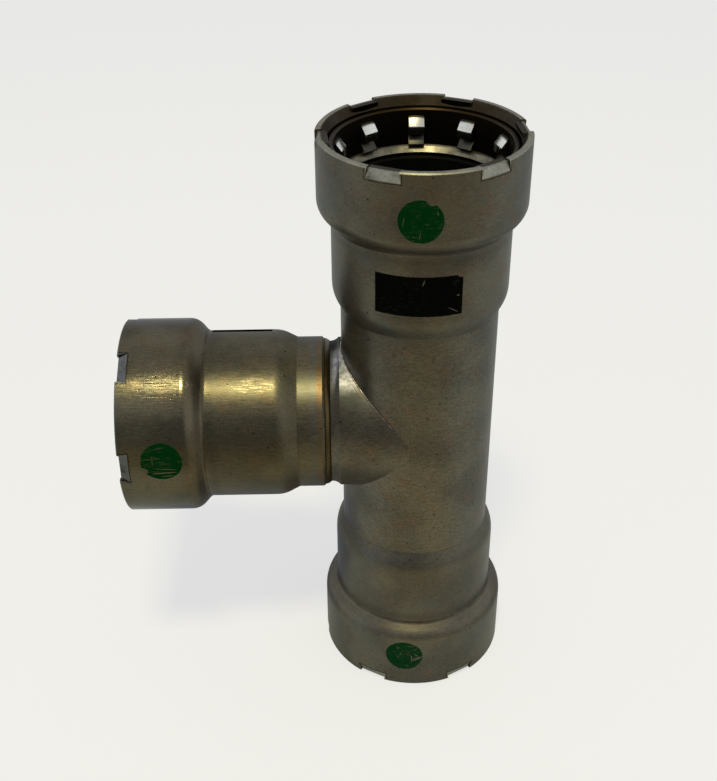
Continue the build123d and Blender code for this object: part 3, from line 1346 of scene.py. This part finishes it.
@dataclass
class TeeSteel:
    """The formed steel: the run with its two press ends, and the branch socket."""

    tee: TeeFrame
    green: Colour = srgb(3, 44, 15)
    faded_green: Colour = srgb(12, 52, 26)
    black: Colour = srgb(6, 7, 7)
    # Painted highlights in rubbed streaks along the upper front of the branch's bead and socket, where the
    # key lamp's highlight falls
    rubbed_highlights: TurnedStrokes = (
        (-39.0, Stroke(0.0, 7.4, 90.0, 13.5, 3.4)),
        (-39.0, Stroke(0.2, 24.0, 90.0, 9.0, 3.4)),
    )
    # Dark scratches along the top of the branch's bead, and a few on its side
    scuffs: TurnedStrokes = (
        (-39.0, Stroke(0.2, 7.3, 90.0, 6.0, 0.2)),
        (-39.0, Stroke(-0.35, 8.6, 88.0, 3.6, 0.16)),
        (-39.0, Stroke(0.75, 5.6, 92.0, 2.8, 0.14)),
        (-89.0, Stroke(0.0, 16.9, 90.0, 2.6, 0.14)),
        (-70.0, Stroke(0.0, 9.6, 40.0, 1.6, 0.22)),
        (-66.0, Stroke(0.6, 8.4, 50.0, 1.1, 0.16)),
    )

    def marks(self) -> tuple[Mark, ...]:
        """The three green discs and the two black fields, with their scratches and chips.

        Returns:
            The marks of all three press ends.
        """
        bead, socket, disc = 18.0, 15.6, 3.7
        return (
            Mark(End.UPPER, -94.7, 8.0, bead, disc, disc, self.green, strokes=(
                Stroke(-2.75, 0.2, 100.0, 1.9, 0.14), Stroke(-0.1, 2.4, 100.0, 1.2, 0.14),
                Stroke(1.6, -3.3, 20.0, 1.9, 1.1), Stroke(2.6, -1.4, 80.0, 0.9, 0.12))),
            Mark(End.LOWER, 98.5, 7.9, bead, disc, disc, self.faded_green, wear=0.6, strokes=(
                Stroke(-2.5, -0.7, 152.0, 2.9, 0.45), Stroke(-1.5, -0.6, 85.0, 1.9, 0.25),
                Stroke(-2.4, 0.3, 40.0, 1.3, 0.2), Stroke(1.2, -0.4, 120.0, 0.9, 0.14),
                Stroke(0.7, 0.5, 120.0, 0.8, 0.14), Stroke(-0.6, -2.6, 20.0, 1.0, 0.16))),
            Mark(End.BRANCH, -84.0, 7.8, bead, disc, disc, self.green, wear=0.55, strokes=(
                Stroke(-2.3, 0.4, 86.0, 4.6, 0.3), Stroke(-1.5, 0.9, 94.0, 3.8, 0.18),
                Stroke(-3.0, 0.9, 84.0, 2.6, 0.16), Stroke(0.2, -1.6, 176.0, 2.2, 0.16),
                Stroke(-1.7, -3.2, 120.0, 1.8, 1.0), Stroke(0.6, -2.4, 90.0, 1.6, 0.14),
                Stroke(2.6, -0.6, 80.0, 2.0, 0.14))),
            Mark(
                End.UPPER, -95.1, 22.6, socket, 7.5, 3.7, self.black, round_disc=False, ragged=0.12,
                wear=0.06, strokes=(
                    Stroke(7.1, -3.5, 15.0, 1.6, 0.6), Stroke(6.7, 0.1, 10.0, 0.6, 0.25),
                    Stroke(5.9, 2.7, 32.0, 2.4, 0.14), Stroke(0.8, -2.6, 110.0, 1.3, 0.22))),
            Mark(
                End.BRANCH, 45.5, 21.4, socket, 7.5, 5.6, self.black, round_disc=False, ragged=0.12,
                wear=0.0),
        )

    def build(self) -> None:
        """Dress the run and the branch socket."""
        ends = self.tee.ends
        grime_and_shade, dull = srgb(36, 27, 15), srgb(60, 52, 36)
        run = CoatedSteel(
            "run_coat",
            Tints(
                dark=srgb(91, 88, 80), light=srgb(106, 103, 92), warm=srgb(111, 93, 78),
                cool=srgb(88, 97, 99), dull=dull, grime_and_shade=grime_and_shade, bare=srgb(148, 147, 136)),
            grain_axis=Vector(UP), lay_scale=(0.9, 0.9, 4.0), shoulder_stain=0.1,
            film_share=0.18, slope_light=-0.25, grain_contrast=1.35, collar=ends[End.BRANCH],
            marks=self.marks())
        branch = CoatedSteel(
            "branch_coat",
            Tints(
                dark=srgb(81, 77, 64), light=srgb(97, 92, 76), warm=srgb(94, 81, 62),
                cool=srgb(82, 87, 84), dull=dull, grime_and_shade=grime_and_shade, bare=srgb(104, 107, 108)),
            grain_axis=Vector(RIGHT), lay_scale=(0.5, 4.5, 4.5), film_share=0.2, slope_light=0.1,
            shoulder_stain=0.25, narrow_dulling=1.0, slope_dulling=0.2, lay_gloss=0.16, pitting=0.4,
            heat_tint=1.0, roughness=0.115, bump_mm=0.013, marks=self.marks(),
            scuffs=self.scuffs, rubbed_highlights=self.rubbed_highlights)
        dress("run_body", run.build((ends[End.UPPER], ends[End.LOWER])))
        dress("branch_socket", branch.build((ends[End.BRANCH],)))
        log.info("dressed the run and the branch socket")


@dataclass
class TeeRings:
    """The loose rings in the three chambers."""

    tee: TeeFrame

    def build(self) -> None:
        """Build the grip rings and dress the separators and seals."""
        separator = PlainMetal("separator_steel", srgb(122, 118, 105), srgb(92, 89, 78), 0.38).build()
        rubber = BlackRubber("seal_black", srgb(9, 9, 9), srgb(20, 20, 21)).build()
        for end, press_end in self.tee.ends.items():
            low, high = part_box(f"{end.value}_grip_ring")
            reach = [(corner - press_end.axis.point).dot(press_end.axis.outward) for corner in (low, high)]
            radius = (high.y - low.y) / 2
            ring = GripRing(press_end, radius / MM, -max(reach) / MM, (max(reach) - min(reach)) / MM)
            # The third colour is the painted shade on the wall and the lower teeth
            steel = GripSteel(
                f"{end.value}_grip_steel", srgb(206, 205, 198), srgb(170, 171, 168), srgb(40, 37, 28),
                srgb(44, 35, 22), roughness=0.2, edge_depth=ring.top_depth,
                wall_radius=ring.outer_radius - ring.wall)
            piece = ring.build(steel.build(press_end))
            log.info("built %s with %d faces", piece.name, len(piece.data.polygons))
            dress(f"{end.value}_separator_ring", separator)
            dress(f"{end.value}_sealing_ring", rubber)


@dataclass
class CollarRidge:
    """The fine ridge over the top of the line where the drawn collar leaves the run, in millimetres."""

    crossing: Vector
    run_radius: float = 14.24
    collar_radius: float = 14.09
    half_turn_deg: float = 77.0
    thickness: float = 0.15
    point_count: int = 121
    section_sides: int = 10
    taper_power: float = 4.0
    least_share: float = 0.2

    def path_tree(self, material: bpy.types.Material) -> GeometryTree:
        """A tree that sweeps a thin round bead along the line where the two tubes meet.

        Args:
            material: The finish of the ridge.

        Returns:
            The tree, ready to be put on an object.
        """
        tree = GeometryTree("collar_ridge")
        count = tree.input("Point Count", "Int", self.point_count)
        run = tree.input("Run Radius", "Float", self.run_radius * MM)
        collar = tree.input("Collar Radius", "Float", self.collar_radius * MM)
        height = tree.input("Branch Height", "Float", self.crossing.z)
        reach = tree.input("Half Turn", "Float", math.radians(self.half_turn_deg))
        thickness = tree.input("Bead Radius", "Float", self.thickness * MM)
        finish = tree.input("Finish", "Material", material)
        line = tree.node("GeometryNodeCurvePrimitiveLine")
        points = tree.node("GeometryNodeResampleCurve", {"Curve": line, "Count": count})
        share = tree.node("GeometryNodeSplineParameter").outputs["Factor"]
        along = tree.math("MULTIPLY_ADD", share, 2.0, -1.0)
        turn = along * reach
        y = tree.math("SINE", turn) * collar
        z = tree.math("MULTIPLY_ADD", tree.math("COSINE", turn), collar, height)
        x = -tree.math("SQRT", tree.math("MULTIPLY", run, run) - y * y)
        place = tree.node("ShaderNodeCombineXYZ", {0: x, 1: y, 2: z})
        path = tree.node("GeometryNodeSetPosition", {
            "Geometry": points, "Position": place})
        taper = 1.0 - tree.math("POWER", abs(along), self.taper_power)
        sized = tree.node("GeometryNodeSetCurveRadius", {
            "Curve": path, "Radius": tree.larger(taper, self.least_share)})
        section = tree.node(
            "GeometryNodeCurvePrimitiveCircle", {"Resolution": self.section_sides, "Radius": thickness})
        swept = tree.node("GeometryNodeCurveToMesh", {
            "Curve": sized,
            "Profile Curve": section,
            "Scale": tree.node("GeometryNodeInputRadius"),
            "Fill Caps": True,
        })
        tree.close(swept, finish)
        return tree

    def build(self, material: bpy.types.Material) -> bpy.types.Object:
        """Make the ridge.

        Args:
            material: The finish of the ridge.

        Returns:
            The finished piece.
        """
        holder = new_mesh_object("ridge_holder", bmesh.new())
        self.path_tree(material).put_on(holder)
        ridge = plain(holder, "collar_ridge", material, Matrix.Identity(4))
        ridge.data.shade_smooth()
        return ride(ridge, Slot.BODY)


@dataclass
class TeeJoint:
    """What joins the branch to the run: the weld, and the ridge round the drawn collar."""

    tee: TeeFrame
    weld_low_radius: float = 13.25
    weld_inner_low: float = 12.1
    weld_inner_high: float = 12.25

    def build(self) -> None:
        """Build the weld and the ridge."""
        low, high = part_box("branch_weld")
        neck_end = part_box("branch_socket")[1].x
        weld = WeldBead(
            self.tee.crossing,
            start=-high.x / MM,
            width=(high.x - neck_end) / MM,
            low_radius=self.weld_low_radius,
            high_radius=(high.y - low.y) / 2 / MM,
            inner_low=self.weld_inner_low,
            inner_high=self.weld_inner_high,
        )
        middle, half = (high.x + neck_end) / 2 / MM, (high.x - neck_end) / 2 / MM
        tint = WeldTint("weld_tint", srgb(80, 70, 48), srgb(36, 24, 11), middle, half).build()
        polish = PlainMetal("ridge_polish", srgb(156, 154, 152), srgb(112, 101, 78), 0.34, 1.1).build()
        for piece in (weld.build(tint), CollarRidge(self.tee.crossing).build(polish)):
            log.info("built %s with %d faces", piece.name, len(piece.data.polygons))


@dataclass(frozen=True)
class Lamp:
    """A square lamp that faces the crossing of the axes, in degrees, metres and watts."""

    name: str
    turn_deg: float
    rise_deg: float
    distance: float
    size: float
    power: float
    colour: Colour


@dataclass
class Studio:
    """A pale floor, a pale sky, one key lamp and the camera, in metres and degrees."""

    tee: TeeFrame
    camera_turn_deg: float = -0.942
    camera_rise_deg: float = 33.613
    camera_roll_deg: float = -0.446
    camera_distance: float = 0.21936
    camera_lens: float = 53.90
    sensor_width: float = 36.0
    aim: Vector = field(default_factory=lambda: Vector((-0.01104, 0.0, 0.03256)))
    floor_reach: float = 2.0
    floor_colour: Colour = (0.82, 0.83, 0.86)
    floor_side: Colour = (0.76, 0.82, 0.94)
    # Painted light and painted shadow on the floor, seen only in gloss
    floor_near_light: Colour = (0.84, 0.78, 0.67)
    floor_front_shadow: Colour = (0.42, 0.39, 0.34)
    camera_white: float = 0.62
    sky_level: float = 0.45
    key: Lamp = Lamp("key_lamp", -8.0, 67.0, 0.7, 0.1, 2.4, (1.0, 0.9, 0.47))

    def direction(self, turn_deg: float, rise_deg: float) -> Vector:
        """The direction towards a viewer or lamp, where turn 0 is at -Y and 90 at +X."""
        turn, rise = math.radians(turn_deg), math.radians(rise_deg)
        return Vector((math.sin(turn) * math.cos(rise), -math.cos(turn) * math.cos(rise), math.sin(rise)))

    def place_camera(self) -> None:
        """Put the camera where the photograph was taken from."""
        back = self.direction(self.camera_turn_deg, self.camera_rise_deg)
        turn = math.radians(self.camera_turn_deg)
        level = Vector((math.cos(turn), math.sin(turn), 0))
        upward = back.cross(level)
        roll = math.radians(self.camera_roll_deg)
        right = level * math.cos(roll) + upward * math.sin(roll)
        data = bpy.data.cameras.new("photo_camera")
        data.lens = self.camera_lens
        data.sensor_width = self.sensor_width
        data.clip_start = 0.01
        made = add_object("photo_camera", data)
        rotation = Matrix((right, back.cross(right), back)).transposed().to_4x4()
        made.matrix_world = Matrix.Translation(self.aim + back * self.camera_distance) @ rotation
        bpy.context.scene.camera = made

    def hang(self, lamp: Lamp) -> None:
        """Hang one lamp, facing the crossing of the axes.

        Args:
            lamp: What it is and where it hangs.
        """
        data = bpy.data.lights.new(lamp.name, "AREA")
        data.size = lamp.size
        data.energy = lamp.power
        data.color = lamp.colour
        made = add_object(lamp.name, data)
        towards = self.direction(lamp.turn_deg, lamp.rise_deg)
        made.matrix_world = (
            Matrix.Translation(self.tee.crossing + towards * lamp.distance)
            @ towards.to_track_quat("Z", "Y").to_matrix().to_4x4()
        )

    def sky(self) -> None:
        """A sky that lights the part evenly, and looks white to the camera.

        In gloss it is a pale room: dim about the front, brighter and a little cool at the sides.
        """
        world = bpy.data.worlds.new("pale_sky")
        bpy.context.scene.world = world
        world.use_nodes = True
        graph = Graph(world.node_tree)
        rays = graph.node("ShaderNodeLightPath").outputs
        towards = graph.node("ShaderNodeTexCoord").outputs["Generated"]
        sideways = graph.ramp(abs(graph.dot(towards, RIGHT)), 0.35, 0.95)
        front = graph.ramp(graph.dot(towards, (0.0, -0.995, 0.1)), 0.75, 0.97)
        behind = graph.ramp(graph.dot(towards, BACK), 0.6, 0.95)
        overhead = graph.ramp(graph.dot(towards, UP), 0.65, 0.95)
        room = 0.8 + sideways * 0.45 - behind * 0.25 - front * 0.5 - overhead * 0.22
        glossy = graph.larger(
            Signal(graph, rays["Is Glossy Ray"]), Signal(graph, rays["Is Transmission Ray"]))
        level = self.sky_level + (room - self.sky_level) * glossy
        seen = Signal(graph, rays["Is Camera Ray"])
        level = level + (1.0 - level) * seen
        tint = graph.blend(sideways * glossy, (1.0, 1.0, 1.0), (0.94, 0.98, 1.0))
        background = graph.node("ShaderNodeBackground", {"Color": tint, "Strength": level})
        graph.node("ShaderNodeOutputWorld", {"Surface": background})

    def floor(self) -> None:
        """A plain pale floor that keeps the part's shadow.

        The part's gloss sees painted light and shade on it: a warm painted pool of light just in front of
        the part, a painted shadow further in front, as where a viewer stands, and a cooler colour
        elsewhere.
        """
        shape = bmesh.new()
        corners = ((-1, -1), (1, -1), (1, 1), (-1, 1))
        reach, height = self.floor_reach, self.tee.floor_height
        shape.faces.new([shape.verts.new((x * reach, y * reach, height)) for x, y in corners])
        made = new_mesh_object("pale_floor", shape)
        material = bpy.data.materials.new("pale_floor")
        material.use_nodes = True
        graph = Graph(material.node_tree)
        rays = graph.node("ShaderNodeLightPath").outputs
        seen, glossy = Signal(graph, rays["Is Camera Ray"]), Signal(graph, rays["Is Glossy Ray"])
        place = graph.node("ShaderNodeTexCoord").outputs["Object"]
        forward = graph.dot(place, (0.0, -1.0, 0.0))
        aside = abs(graph.dot(place, RIGHT))
        colour = graph.blend(glossy, self.floor_colour, self.floor_side)
        # A warm painted pool of light just in front of the part, seen only in gloss
        near = graph.ramp(forward, 0.02, 0.05) * graph.ramp(aside, 0.09, 0.02)
        colour = graph.blend(near * glossy, colour, self.floor_near_light)
        # A painted shadow further in front, seen only in gloss
        front = graph.ramp(forward, 0.05, 0.14)
        colour = graph.blend(front * glossy, colour, self.floor_front_shadow)
        shader = graph.node("ShaderNodeBsdfPrincipled", {"Base Color": colour, "Roughness": 0.9})
        white = graph.node("ShaderNodeEmission", {"Strength": 1.0})
        mixed = graph.node("ShaderNodeMixShader", {
            0: seen * self.camera_white, 1: shader, 2: white})
        graph.node("ShaderNodeOutputMaterial", {"Surface": mixed})
        made.data.materials.append(material)

    def build(self) -> None:
        """Set the stage, the lamp and the camera."""
        self.sky()
        self.floor()
        self.hang(self.key)
        self.place_camera()
        bpy.context.scene.view_settings.view_transform = "Standard"


def main() -> None:
    """Build the studio and every sub-assembly in order."""
    logging.basicConfig(level=logging.INFO, format="%(message)s")
    tee = TeeFrame()
    Studio(tee).build()
    TeeSteel(tee).build()
    TeeRings(tee).build()
    TeeJoint(tee).build()


if __name__ == "__main__":
    main()
